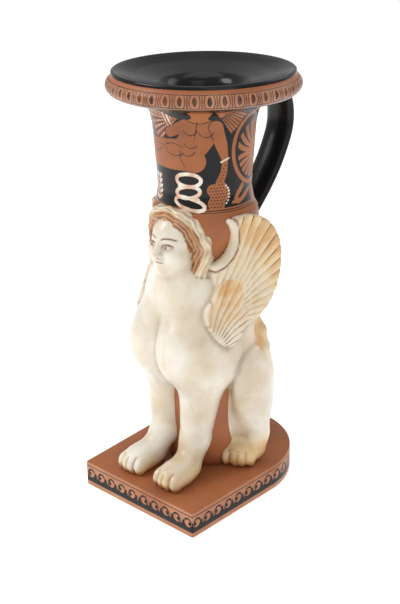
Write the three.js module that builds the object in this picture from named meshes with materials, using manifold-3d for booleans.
// A pottery vase carried by a seated, winged sphinx on a plinth with a round back.
// Millimetres, +Z up. The sphinx faces -Y. The origin is on the vase's axis at the plinth's underside.
// The vase is a hollow column that widens into a neck with a broad moulded rim, with a strap handle behind.
// Plinth, vase, sphinx and handle were formed apart and luted together, so each is a solid of its own.

import * as THREE from 'three';
import { mergeVertices } from 'three/addons/utils/BufferGeometryUtils.js';
import Module from 'manifold-3d';

const wasm = await Module();
wasm.setup();

// Overall sizes and fits
const VASE_HEIGHT = 300; // plinth's underside to the lip
const JOINT_GAP = 0.3; // luting clay between two pieces
const ROUND_SEGMENTS = 40; // facets round the vase

// Plinth: straight front and sides, round back
const PLINTH_THICKNESS = 19;
const PLINTH_FRONT = 75; // vase axis to the front edge
const PLINTH_FRONT_WIDTH = 105;
const PLINTH_BACK_RADIUS = 55.5;
const PLINTH_ARC_CENTRE = 9; // where the sides end and the round back begins, behind the axis
const PLINTH_ARC_SEGMENTS = 36;

// Vase: column, shoulder, neck and rim
const WALL = 4.5;
const FLOOR = 5;
const FOOT_RADIUS = 29.5;
const COLUMN_RADIUS = 33;
const SHOULDER_RADIUS = 37.3;
const SHOULDER_HEIGHT = 185; // above the plinth
const NECK_RADIUS = 31.7; // at its waist
const NECK_TOP_RADIUS = 36.2;
const NECK_TOP_DROP = 27; // lip down to where the neck meets the rim's underside
const RIM_DROP = 15; // lip down to the rim's lower edge
const RIM_EDGE_RADIUS = 61.3;
const RIM_BULGE_RADIUS = 64.4;
const LIP_RADIUS = 60.3;
const LIP_HEIGHT = 2.6;
const DISH_DEPTH = 11; // lip down to the throat
const THROAT_RADIUS = 24;

// Strap handle, from under the rim to the back of the shoulder
const HANDLE_WIDTH = 23;
const HANDLE_THICKNESS = 10;
const HANDLE_REACH = 81.5; // vase axis to the middle of the strap where it stands out most
const HANDLE_ROOT_HEIGHT = 163; // above the plinth, where the strap meets the shoulder
const HANDLE_STATIONS = 17;
const HANDLE_SIDES = 12;

// Sphinx: a free form, so its pose and proportions are in units of its own height
const FIGURE_HEIGHT = 195; // plinth to the top of the hair
const FIGURE_UNITS = 195; // the height in units of the proportions below
const FIGURE_CELL = 2.5; // grid that the surface is found on, in the same units
const HEAD_CELL = 1.5; // finer grid for the face and hair
const HEAD_LOW = 145; // the head is above this height
const HEAD_HALF = 26; // half its width with the hair
const HEAD_BACK = -14; // the column's side of the head
const HEAD_WEIGHT = 9; // how much more the head's edges count when triangles are saved
const FIGURE_TRIANGLES = 5740;
const FAN_ROOT = [-30, 121]; // where the long feathers spring from, back from the axis and up
const FAN_FEATHER = 7; // degrees from one long feather to the next
const COVERT_ROOT = [-40, 102]; // the same for the short feathers over the shoulder
const COVERT_FEATHER = 9;
const FEATHER_DEPTH = 0.8; // of the valleys between feathers
const FEATHER_START = 18; // from the root, where the valleys begin
const FAN_NOTCH = [-34, 176.5, 21]; // round bay in the fan's front edge: middle and radius
const FAN_FRONT = -23.5; // the fan starts here, behind the throat
const LOCK_PITCH = 4.4; // strands follow the face's outline in waves
const LOCK_DEPTH = 0.8;
const UNIT = FIGURE_HEIGHT / FIGURE_UNITS;

const MATERIALS = {
  terracotta: { color: 0xa9613f, roughness: 0.5, metalness: 0 },
  slip: { color: 0xe9dcc6, roughness: 0.45, metalness: 0 },
  blackGloss: { color: 0x15130f, roughness: 0.18, metalness: 0 },
};

// Makes a closed geometry into a solid that can be joined and cut
function solidOf(geometry) {
  const bare = geometry.clone();
  bare.deleteAttribute('normal');
  bare.deleteAttribute('uv');
  const merged = mergeVertices(bare, 1e-4);
  const position = merged.getAttribute('position');
  const triVerts = [];
  for (let i = 0; i < merged.index.count; i += 3) {
    const [a, b, c] = [0, 1, 2].map((k) => merged.index.getX(i + k));
    if (a !== b && b !== c && c !== a) triVerts.push(a, b, c);
  }
  const mesh = new wasm.Mesh({
    numProp: 3,
    vertProperties: new Float32Array(position.array),
    triVerts: new Uint32Array(triVerts),
  });
  return new wasm.Manifold(mesh);
}

function solidFrom({ positions, triangles }) {
  const mesh = new wasm.Mesh({
    numProp: 3,
    vertProperties: new Float32Array(positions.flat()),
    triVerts: new Uint32Array(triangles.flat()),
  });
  return new wasm.Manifold(mesh);
}

function geometryOf(solid) {
  const mesh = solid.getMesh();
  const geometry = new THREE.BufferGeometry();
  geometry.setAttribute('position', new THREE.BufferAttribute(new Float32Array(mesh.vertProperties), 3));
  geometry.setIndex(new THREE.BufferAttribute(new Uint32Array(mesh.triVerts), 1));
  geometry.computeVertexNormals();
  return geometry;
}

function named(name, geometry, look) {
  const mesh = new THREE.Mesh(geometry, new THREE.MeshStandardMaterial(look));
  mesh.name = name;
  return mesh;
}

// Turns a profile of [radius, height] pairs about Z
function lathed(profile) {
  const points = profile.map(([radius, height]) => new THREE.Vector2(radius, height));
  const geometry = new THREE.LatheGeometry(points, ROUND_SEGMENTS);
  geometry.rotateX(Math.PI / 2);
  return geometry;
}

function plinthGeometry() {
  const half = PLINTH_FRONT_WIDTH / 2;
  const outline = new THREE.Shape();
  outline.moveTo(-half, -PLINTH_FRONT);
  outline.lineTo(half, -PLINTH_FRONT);
  outline.lineTo(PLINTH_BACK_RADIUS, PLINTH_ARC_CENTRE);
  for (let i = 1; i <= PLINTH_ARC_SEGMENTS; i += 1) {
    const angle = (Math.PI * i) / PLINTH_ARC_SEGMENTS;
    const y = PLINTH_ARC_CENTRE + PLINTH_BACK_RADIUS * Math.sin(angle);
    outline.lineTo(PLINTH_BACK_RADIUS * Math.cos(angle), y);
  }
  outline.closePath();
  return new THREE.ExtrudeGeometry(outline, { depth: PLINTH_THICKNESS, bevelEnabled: false });
}

// The vase's outer profile from the foot up to the lip, grown by a clearance all round
function outerProfile(grow) {
  const base = PLINTH_THICKNESS + JOINT_GAP - grow;
  const shoulder = PLINTH_THICKNESS + SHOULDER_HEIGHT;
  const rimLow = VASE_HEIGHT - RIM_DROP;
  const neckTop = VASE_HEIGHT - NECK_TOP_DROP;
  const neckLow = shoulder + 18;
  const neckSpan = neckTop - neckLow;
  const lipLow = VASE_HEIGHT - LIP_HEIGHT;
  const profile = [
    [FOOT_RADIUS, base],
    [COLUMN_RADIUS - 1, PLINTH_THICKNESS + 60],
    [COLUMN_RADIUS, shoulder - 32],
    [COLUMN_RADIUS + 0.6, shoulder - 18],
    [SHOULDER_RADIUS - 1, shoulder - 8],
    [SHOULDER_RADIUS, shoulder - 1],
    [SHOULDER_RADIUS - 1.4, shoulder + 3],
    [NECK_RADIUS + 1.6, shoulder + 8],
    [NECK_RADIUS, neckLow],
  ];
  for (const share of [0.3, 0.6, 0.85]) {
    const swell = NECK_RADIUS + (NECK_TOP_RADIUS - 1 - NECK_RADIUS) * share ** 1.3;
    profile.push([swell, neckLow + neckSpan * share]);
  }
  profile.push(
    [NECK_TOP_RADIUS, neckTop],
    [NECK_TOP_RADIUS + 3, neckTop + 4.5],
    [NECK_TOP_RADIUS + 10, neckTop + 7.5],
    [RIM_EDGE_RADIUS - 5, rimLow - 1.6],
    [RIM_EDGE_RADIUS, rimLow],
    [RIM_BULGE_RADIUS - 0.7, rimLow + 2.6],
    [RIM_BULGE_RADIUS, rimLow + 5.2],
    [RIM_BULGE_RADIUS - 0.8, rimLow + 8],
    [LIP_RADIUS + 1.2, rimLow + 10.2],
    [LIP_RADIUS - 0.3, lipLow - 0.9],
    [LIP_RADIUS, lipLow],
    [LIP_RADIUS, VASE_HEIGHT - 0.8],
  );
  return profile.map(([radius, height]) => [radius + grow, height]);
}

// The hollow's profile from the lip down through the dish and throat to the floor
function innerProfile() {
  const throat = VASE_HEIGHT - DISH_DEPTH;
  const shoulder = PLINTH_THICKNESS + SHOULDER_HEIGHT;
  const floor = PLINTH_THICKNESS + JOINT_GAP + FLOOR;
  const dish = LIP_RADIUS - 3 - THROAT_RADIUS;
  return [
    [LIP_RADIUS - 0.9, VASE_HEIGHT],
    [LIP_RADIUS - 3, VASE_HEIGHT - 0.6],
    [THROAT_RADIUS + dish * 0.72, VASE_HEIGHT - DISH_DEPTH * 0.42],
    [THROAT_RADIUS + dish * 0.36, VASE_HEIGHT - DISH_DEPTH * 0.72],
    [THROAT_RADIUS + dish * 0.08, throat + 0.6],
    [THROAT_RADIUS, throat - 4],
    [NECK_RADIUS - WALL, VASE_HEIGHT - NECK_TOP_DROP - 8],
    [NECK_RADIUS - WALL, shoulder + 18],
    [COLUMN_RADIUS - WALL, shoulder - 20],
    [COLUMN_RADIUS - WALL - 1, PLINTH_THICKNESS + 60],
    [FOOT_RADIUS - WALL, floor + 4],
    [FOOT_RADIUS - WALL - 5, floor],
  ];
}

function vaseGeometry() {
  const outer = outerProfile(0);
  const inner = innerProfile();
  return lathed([[0, outer[0][1]], ...outer, ...inner, [0, inner[inner.length - 1][1]]]);
}

// The vase as a filled solid, grown by the joint, that cuts what is luted to it
function vaseCutter() {
  const outer = outerProfile(JOINT_GAP);
  const top = outer[outer.length - 1][1];
  return solidOf(lathed([[0, outer[0][1]], ...outer, [0, top]]));
}

function handleGeometry() {
  const top = VASE_HEIGHT - RIM_DROP;
  const root = PLINTH_THICKNESS + HANDLE_ROOT_HEIGHT;
  const reach = HANDLE_REACH;
  const drop = top - root;
  const points = [
    [RIM_EDGE_RADIUS - 9, top + 0.5],
    [reach - 9, top - drop * 0.07],
    [reach - 1.5, top - drop * 0.19],
    [reach, top - drop * 0.34],
    [reach - 9, top - drop * 0.55],
    [reach - 23.5, top - drop * 0.74],
    [SHOULDER_RADIUS + 4, top - drop * 0.9],
    [SHOULDER_RADIUS - 7, root],
  ];
  const path = new THREE.CatmullRomCurve3(points.map(([y, z]) => new THREE.Vector3(0, y, z)));
  const section = new THREE.Shape();
  for (let i = 0; i < HANDLE_SIDES; i += 1) {
    const angle = (2 * Math.PI * i) / HANDLE_SIDES;
    const across = (HANDLE_WIDTH / 2) * Math.cos(angle);
    const through = (HANDLE_THICKNESS / 2) * Math.sign(Math.sin(angle)) * Math.abs(Math.sin(angle)) ** 0.8;
    if (i === 0) section.moveTo(across, through);
    else section.lineTo(across, through);
  }
  section.closePath();
  return new THREE.ExtrudeGeometry(section, { steps: HANDLE_STATIONS, extrudePath: path });
}

// Distances for the figure's form. Coordinates are figure units, with z above the plinth.

function length(x, y, z = 0) {
  return Math.sqrt(x * x + y * y + z * z);
}

function blend(a, b, reach) {
  const overlap = Math.max(reach - Math.abs(a - b), 0) / reach;
  return Math.min(a, b) - overlap * overlap * reach * 0.25;
}

function carve(a, b, reach) {
  return -blend(-a, -b, reach);
}

function ellipsoid(x, y, z, [cx, cy, cz], [rx, ry, rz], turn = 0) {
  const [ux, uy] = [x - cx, y - cy];
  const [sine, cosine] = [Math.sin(turn), Math.cos(turn)];
  const dx = ux * cosine + uy * sine;
  const dy = uy * cosine - ux * sine;
  const dz = z - cz;
  const near = length(dx / rx, dy / ry, dz / rz);
  const slope = length(dx / rx ** 2, dy / ry ** 2, dz / rz ** 2);
  return (near * (near - 1)) / Math.max(slope, 1e-6);
}

// A limb with round ends whose radius goes from ra at a to rb at b
function limb(x, y, z, a, b, ra, rb) {
  const [bx, by, bz] = [b[0] - a[0], b[1] - a[1], b[2] - a[2]];
  const [px, py, pz] = [x - a[0], y - a[1], z - a[2]];
  const share = (px * bx + py * by + pz * bz) / (bx * bx + by * by + bz * bz);
  const t = Math.min(Math.max(share, 0), 1);
  return length(px - t * bx, py - t * by, pz - t * bz) - (ra + (rb - ra) * t);
}

const TOES = 4;
const HIND_TURN = (34 * Math.PI) / 180; // the hind feet point outwards

function frontLeg(x, y, z) {
  let d = ellipsoid(x, y, z, [12, -27.3, 96.5], [25.5, 28.6, 32.5]);
  d = blend(d, limb(x, y, z, [19, -21, 78], [16, -27.5, 38], 15.5, 10), 14);
  d = blend(d, limb(x, y, z, [13.3, -28, 66], [13.8, -28.5, 24], 10.5, 10.2), 6);
  d = blend(d, limb(x, y, z, [14, -29.5, 24], [16.5, -40, 9], 10, 9.5), 6);
  let paw = ellipsoid(x, y, z, [17.3, -52, 7], [11.8, 16.5, 10.3]);
  for (let i = 0; i < TOES; i += 1) {
    const across = i - (TOES - 1) / 2;
    paw = blend(paw, ellipsoid(x, y, z, [17.3 + 5.5 * across, -62.5 + Math.abs(across), 6], [3.1, 6, 6.4]), 1.6);
  }
  return blend(d, paw, 6);
}

function hindLeg(x, y, z) {
  let d = ellipsoid(x, y, z, [36, 9, 59], [10.5, 20.5, 31]);
  d = blend(d, ellipsoid(x, y, z, [28, 13, 54], [15.5, 23.5, 42]), 1.5);
  d = blend(d, limb(x, y, z, [35, 10, 41], [37, 11, 20], 12, 8.5), 8);
  let foot = limb(x, y, z, [37, 11, 20], [35.5, 9, 9], 8.8, 9.8);
  foot = blend(foot, ellipsoid(x, y, z, [31, 1, 7.5], [13, 15.5, 10.4], HIND_TURN), 4);
  for (let i = 0; i < TOES; i += 1) {
    const across = (i - (TOES - 1) / 2) * 6;
    const centre = [34.5 + across * Math.cos(HIND_TURN), -5.5 + across * Math.sin(HIND_TURN), 6.2];
    foot = blend(foot, ellipsoid(x, y, z, centre, [3.4, 6, 6.6], HIND_TURN), 1.6);
  }
  return blend(d, foot, 5);
}

function torso(x, y, z) {
  const round = length(x, y);
  let d = carve(round - 37, z - 149 + 0.35 * Math.max(y + 10, 0), 8);
  d = carve(d, 69 - z, 8);
  d = blend(d, ellipsoid(x, y, z, [0, 12, 38], [37, 36, 62]), 12);
  d = blend(d, ellipsoid(x, y, z, [0, -20, 123], [32, 26, 32]), 10);
  return blend(d, limb(x, y, z, [0, -19, 131], [0, -24, 157], 22, 16), 10);
}

// The tail lies up the left flank behind the thigh
const TAIL = [[16, 44, 8], [27, 36, 34], [30, 31, 62], [33.5, 24, 84], [33.5, 20, 98], [30.5, 19, 104]];

function chain(x, y, z, points, radius, reach) {
  let d = Infinity;
  for (let i = 1; i < points.length; i += 1) {
    const piece = limb(x, y, z, points[i - 1], points[i], radius, radius);
    d = i === 1 ? piece : blend(d, piece, reach);
  }
  return d;
}

function head(x, y, z) {
  let d = ellipsoid(x, y, z, [0, -28.5, 171], [15.2, 18.5, 20.5]);
  d = blend(d, ellipsoid(x, y, z, [0, -36, 158], [10, 10.5, 9.5]), 7);
  d = blend(d, ellipsoid(x, y, z, [7.5, -39, 164], [5.5, 5.5, 5]), 4);
  d = carve(d, -ellipsoid(x, y, z, [6.4, -48.5, 171], [4.4, 3.6, 3]), 3);
  d = blend(d, ellipsoid(x, y, z, [6.4, -44.2, 170.6], [3.1, 2.2, 1.7]), 0.8);
  d = blend(d, limb(x, y, z, [0, -46.2, 173.5], [0, -49.6, 165.6], 1.5, 2), 2.5);
  d = blend(d, ellipsoid(x, y, z, [1.6, -47.6, 164.6], [1.8, 2, 1.5]), 1.2);
  d = blend(d, ellipsoid(x, y, z, [0, -45.6, 161], [4, 2.2, 1.2]), 0.8);
  d = blend(d, ellipsoid(x, y, z, [0, -45.2, 158.6], [3.3, 2.2, 1.3]), 0.8);
  return blend(d, ellipsoid(x, y, z, [0, -43.6, 153.4], [4, 3, 3.2]), 3);
}

const HAIR = [[0, -34, 189], [9, -32.5, 188], [16, -28, 183], [20, -25.5, 174], [20, -25, 162], [18.5, -26, 152]];

function hair(x, y, z) {
  const cap = ellipsoid(x, y, z, [0, -23, 175], [21, 16, 18]);
  const wave = 1.2 * Math.sin(7 * Math.atan2(x, z - 168));
  const lock = Math.cos((2 * Math.PI * length(x, z - 168)) / LOCK_PITCH + wave);
  return blend(cap, chain(x, y, z, HAIR, 6.4, 3), 3) + LOCK_DEPTH * (0.5 - 0.5 * lock);
}

function disc(y, z, cy, cz, radius) {
  return length(y - cy, z - cz) - radius;
}

// Depth of the valleys between feathers that fan out from a root
function feathering(y, z, [rootY, rootZ], degrees) {
  const share = (Math.atan2(z - rootZ, y - rootY) * 180) / (Math.PI * degrees);
  const valley = 0.5 + 0.5 * Math.cos(2 * Math.PI * share);
  const start = Math.min(Math.max(length(y - rootY, z - rootZ) / FEATHER_START - 1, 0), 0.5) * 2;
  return FEATHER_DEPTH * start * valley * valley;
}

// The wing's fan hugs the column in front and runs on straight behind it
function wingFan(x, y, z) {
  const sheet = length(x, Math.min(y, 4)) - 36.8 - 0.17 * Math.max(y - 4, 0);
  const valley = feathering(y, z, FAN_ROOT, FAN_FEATHER);
  const fan = blend(disc(y, z, -5, 155, 34.5), disc(y, z, -5, 142, 32.5), 6);
  const plate = Math.max(-sheet - 2.6, sheet - 3 + valley);
  const front = Math.max(-disc(y, z, ...FAN_NOTCH), FAN_FRONT - y);
  return carve(carve(fan, front, 2), plate, 1.5);
}

// The short feathers lie over the shoulder, in front of the fan
function wingCoverts(x, y, z, body) {
  const valley = feathering(y, z, COVERT_ROOT, COVERT_FEATHER);
  let lobe = blend(disc(y, z, -20.5, 122, 14.5), disc(y, z, -17, 113, 13.5), 8);
  lobe = blend(lobe, disc(y, z, -16, 138, 9), 8);
  return carve(carve(lobe, body - 3 + valley, 1.5), 18 - x, 2);
}

function figure(x, y, z) {
  const side = Math.abs(x);
  let body = blend(torso(side, y, z), frontLeg(side, y, z), 7);
  const coverts = wingCoverts(side, y, z, body);
  body = blend(body, hindLeg(side, y, z), 4);
  body = blend(body, chain(x, y, z, TAIL, 3.6, 3), 2);
  body = blend(body, head(side, y, z), 5);
  const whole = Math.min(blend(body, coverts, 1), hair(side, y, z), wingFan(side, y, z));
  return Math.max(whole, -1.5 - z);
}

function normalOf(a, b, c) {
  const [ux, uy, uz] = [b[0] - a[0], b[1] - a[1], b[2] - a[2]];
  const [vx, vy, vz] = [c[0] - a[0], c[1] - a[1], c[2] - a[2]];
  return [uy * vz - uz * vy, uz * vx - ux * vz, ux * vy - uy * vx];
}

function middleOf(points) {
  return [0, 1, 2].map((axis) => points.reduce((sum, point) => sum + point[axis], 0) / points.length);
}

// Grid places from low to high, a fine cell apart between fineLow and fineHigh and a coarse one elsewhere
function gridLine(low, high, fineLow, fineHigh) {
  const places = [low];
  while (places[places.length - 1] < high) {
    const last = places[places.length - 1];
    places.push(last + (last >= fineLow && last < fineHigh ? HEAD_CELL : FIGURE_CELL));
  }
  return places;
}

// Surface of a distance function on a grid: each cell is six tetrahedra round its long diagonal
function surfaceOf(distance, lines) {
  const [nx, ny, nz] = lines.map((line) => line.length);
  const stride = [1, nx, nx * ny];
  const values = new Float32Array(nx * ny * nz);
  const least = HEAD_CELL * 0.03; // keeps crossings off the grid's own points
  for (let k = 0, at = 0; k < nz; k += 1) {
    for (let j = 0; j < ny; j += 1) {
      for (let i = 0; i < nx; i += 1, at += 1) {
        const value = distance(lines[0][i], lines[1][j], lines[2][k]);
        values[at] = Math.abs(value) < least ? Math.sign(value || 1) * least : value;
      }
    }
  }
  const step = (corner) => (corner & 1) * stride[0] + ((corner >> 1) & 1) * stride[1] + (corner >> 2) * stride[2];
  const orders = [[1, 3], [1, 5], [2, 3], [2, 6], [4, 5], [4, 6]];
  const crossings = new Map();
  const positions = [];
  const triangles = [];
  const placeOf = (at) => {
    const [i, j, k] = [at % nx, Math.floor(at / nx) % ny, Math.floor(at / stride[2])];
    return [lines[0][i], lines[1][j], lines[2][k]];
  };
  const crossing = (a, b) => {
    const [from, to] = a < b ? [a, b] : [b, a];
    const key = from * 8 * nx * ny + (to - from);
    let index = crossings.get(key);
    if (index === undefined) {
      const t = values[from] / (values[from] - values[to]);
      const [p, q] = [placeOf(from), placeOf(to)];
      index = positions.length;
      positions.push(p.map((value, axis) => value + t * (q[axis] - value)));
      crossings.set(key, index);
    }
    return index;
  };
  const face = (a, b, c, outward) => {
    const normal = normalOf(positions[a], positions[b], positions[c]);
    const facing = normal[0] * outward[0] + normal[1] * outward[1] + normal[2] * outward[2];
    triangles.push(facing < 0 ? [a, c, b] : [a, b, c]);
  };
  const tetrahedron = (v) => {
    const inner = v.filter((at) => values[at] < 0);
    const outer = v.filter((at) => values[at] >= 0);
    if (inner.length === 0 || outer.length === 0) return;
    const [from, to] = [inner, outer].map((part) => middleOf(part.map(placeOf)));
    const outward = to.map((value, axis) => value - from[axis]);
    if (inner.length === 2) {
      const [[a, b], [c, d]] = [inner, outer];
      const ring = [crossing(a, c), crossing(a, d), crossing(b, d), crossing(b, c)];
      face(ring[0], ring[1], ring[2], outward);
      face(ring[0], ring[2], ring[3], outward);
    } else {
      const [alone, others] = inner.length === 1 ? [inner[0], outer] : [outer[0], inner];
      face(...others.map((at) => crossing(alone, at)), outward);
    }
  };
  for (let k = 0; k < nz - 1; k += 1) {
    for (let j = 0; j < ny - 1; j += 1) {
      for (let i = 0; i < nx - 1; i += 1) {
        const base = i + j * stride[1] + k * stride[2];
        let inside = 0;
        for (let corner = 0; corner < 8; corner += 1) inside += values[base + step(corner)] < 0 ? 1 : 0;
        if (inside === 0 || inside === 8) continue;
        for (const [first, second] of orders) tetrahedron([0, first, second, 7].map((n) => base + step(n)));
      }
    }
  }
  return { positions, triangles };
}

// Plane quadrics: a symmetric 4 x 4 matrix as its ten upper terms
function quadricOf(a, b, c) {
  const normal = normalOf(a, b, c);
  const size = Math.max(length(...normal), 1e-9);
  const [nx, ny, nz] = normal.map((value) => value / size);
  const w = -(nx * a[0] + ny * a[1] + nz * a[2]);
  const terms = [nx * nx, nx * ny, nx * nz, nx * w, ny * ny, ny * nz, ny * w, nz * nz, nz * w, w * w];
  return terms.map((term) => term * size);
}

function costAt(q, [x, y, z]) {
  const square = q[0] * x * x + q[4] * y * y + q[7] * z * z + q[9];
  return square + 2 * (q[1] * x * y + q[2] * x * z + q[3] * x + q[5] * y * z + q[6] * y + q[8] * z);
}

// The place where the quadric is least, or the edge's middle where that is ill defined or far off
function bestPlace(q, a, b) {
  const middle = [(a[0] + b[0]) / 2, (a[1] + b[1]) / 2, (a[2] + b[2]) / 2];
  const [yz, xz, xy] = [q[4] * q[7] - q[5] * q[5], q[1] * q[7] - q[5] * q[2], q[1] * q[5] - q[4] * q[2]];
  const det = q[0] * yz - q[1] * xz + q[2] * xy;
  if (Math.abs(det) < 1e-4 * (q[0] + q[4] + q[7]) ** 3) return middle;
  const [ya, yb, yc] = [q[6] * q[7] - q[5] * q[8], q[6] * q[5] - q[4] * q[8], q[1] * q[8] - q[6] * q[2]];
  const x = -(q[3] * yz - q[1] * ya + q[2] * yb) / det;
  const y = -(q[0] * ya - q[3] * xz + q[2] * yc) / det;
  const z = -(-q[0] * yb - q[1] * yc + q[3] * xy) / det;
  const span = length(a[0] - b[0], a[1] - b[1], a[2] - b[2]);
  return length(x - middle[0], y - middle[1], z - middle[2]) > span ? middle : [x, y, z];
}

const LEAST_COST = 1e-12;
const COST_STEPS = 12; // lists for each doubling of the cost
const COST_LISTS = 640;

// Edges in order of cost, kept in lists whose cost doubles every few steps
class EdgeQueue {
  constructor() {
    this.lists = Array.from({ length: COST_LISTS }, () => []);
    this.lowest = this.lists.length;
  }

  push(cost, edge) {
    const order = Math.round(COST_STEPS * Math.log2(Math.max(cost, LEAST_COST) / LEAST_COST));
    const place = Math.min(Math.max(order, 0), this.lists.length - 1);
    this.lists[place].push(edge);
    this.lowest = Math.min(this.lowest, place);
  }

  pop() {
    while (this.lowest < this.lists.length && this.lists[this.lowest].length === 0) this.lowest += 1;
    return this.lowest < this.lists.length ? this.lists[this.lowest].pop() : undefined;
  }
}

// Collapses the edges that change the shape least until few enough triangles are left
function thinned({ positions, triangles }, target, weightAt) {
  const faces = triangles.map((face) => [...face]);
  const around = positions.map(() => []);
  const quadrics = positions.map(() => new Array(10).fill(0));
  const stamps = new Uint32Array(positions.length);
  faces.forEach((face, index) => {
    const weight = weightAt(positions[face[0]]);
    const terms = quadricOf(...face.map((vertex) => positions[vertex])).map((term) => term * weight);
    for (const vertex of face) {
      around[vertex].push(index);
      for (let i = 0; i < 10; i += 1) quadrics[vertex][i] += terms[i];
    }
  });
  const joined = (u, v) => quadrics[u].map((value, i) => value + quadrics[v][i]);
  const queue = new EdgeQueue();
  const offer = (u, v) => {
    const q = joined(u, v);
    const [p, r] = [positions[u], positions[v]];
    const span = length(p[0] - r[0], p[1] - r[1], p[2] - r[2]);
    queue.push(Math.max(costAt(q, bestPlace(q, p, r)), 0) + 2e-4 * span * span, [u, v, stamps[u] + stamps[v]]);
  };
  const ringOf = (vertex) => {
    const ring = new Set();
    for (const index of around[vertex]) for (const other of faces[index]) if (other !== vertex) ring.add(other);
    return ring;
  };
  const turnsOver = (index, u, v, place) => {
    const face = faces[index];
    if (face.includes(u) && face.includes(v)) return false;
    const before = normalOf(...face.map((vertex) => positions[vertex]));
    const after = normalOf(...face.map((vertex) => (vertex === u || vertex === v ? place : positions[vertex])));
    const dot = before[0] * after[0] + before[1] * after[1] + before[2] * after[2];
    return dot < 0.25 * length(...before) * length(...after);
  };
  for (const [a, b, c] of faces) for (const [u, v] of [[a, b], [b, c], [c, a]]) if (u < v) offer(u, v);
  let left = faces.length;
  while (left > target) {
    const edge = queue.pop();
    if (edge === undefined) break;
    const [u, v, stamp] = edge;
    if (around[u] === null || around[v] === null || stamps[u] + stamps[v] !== stamp) continue;
    const [ringU, ringV] = [ringOf(u), ringOf(v)];
    const shared = [...ringU].filter((vertex) => ringV.has(vertex));
    if (shared.length !== 2 || shared.some((vertex) => around[vertex].length === 3)) continue;
    const q = joined(u, v);
    const place = bestPlace(q, positions[u], positions[v]);
    if ([...around[u], ...around[v]].some((index) => turnsOver(index, u, v, place))) continue;
    positions[u] = place;
    quadrics[u] = q;
    for (const index of around[v]) {
      const face = faces[index];
      if (face.includes(u)) {
        for (const other of face) if (other !== v) around[other] = around[other].filter((at) => at !== index);
        faces[index] = null;
        left -= 1;
      } else {
        face[face.indexOf(v)] = u;
        around[u].push(index);
      }
    }
    around[v] = null;
    stamps[u] += 1;
    for (const other of ringOf(u)) offer(u, other);
  }
  const used = new Map();
  const kept = faces.filter((face) => face !== null).map((face) => face.map((vertex) => {
    if (!used.has(vertex)) used.set(vertex, used.size);
    return used.get(vertex);
  }));
  return { positions: [...used.keys()].map((vertex) => positions[vertex]), triangles: kept };
}

function sphinxGeometry() {
  const lines = [
    gridLine(-52, 52, -HEAD_HALF, HEAD_HALF),
    gridLine(-76, 52, -54, HEAD_BACK),
    gridLine(-4, FIGURE_UNITS + 6, HEAD_LOW, FIGURE_UNITS + 6),
  ];
  const weightAt = ([x, y, z]) => (z > HEAD_LOW && y < HEAD_BACK && Math.abs(x) < HEAD_HALF ? HEAD_WEIGHT : 1);
  const form = thinned(surfaceOf(figure, lines), FIGURE_TRIANGLES, weightAt);
  form.positions = form.positions.map(([x, y, z]) => [x * UNIT, y * UNIT, PLINTH_THICKNESS + z * UNIT]);
  const ground = 4 * PLINTH_BACK_RADIUS;
  const base = new THREE.BoxGeometry(ground, ground, ground);
  base.translate(0, 0, PLINTH_THICKNESS + JOINT_GAP - ground / 2);
  return geometryOf(solidFrom(form).subtract(solidOf(base)).subtract(vaseCutter()));
}

const group = new THREE.Group();
group.add(
  named('plinth', plinthGeometry(), MATERIALS.terracotta),
  named('vase', vaseGeometry(), MATERIALS.terracotta),
  named('sphinx', sphinxGeometry(), MATERIALS.slip),
  named('handle', geometryOf(solidOf(handleGeometry()).subtract(vaseCutter())), MATERIALS.blackGloss),
);

export default group;
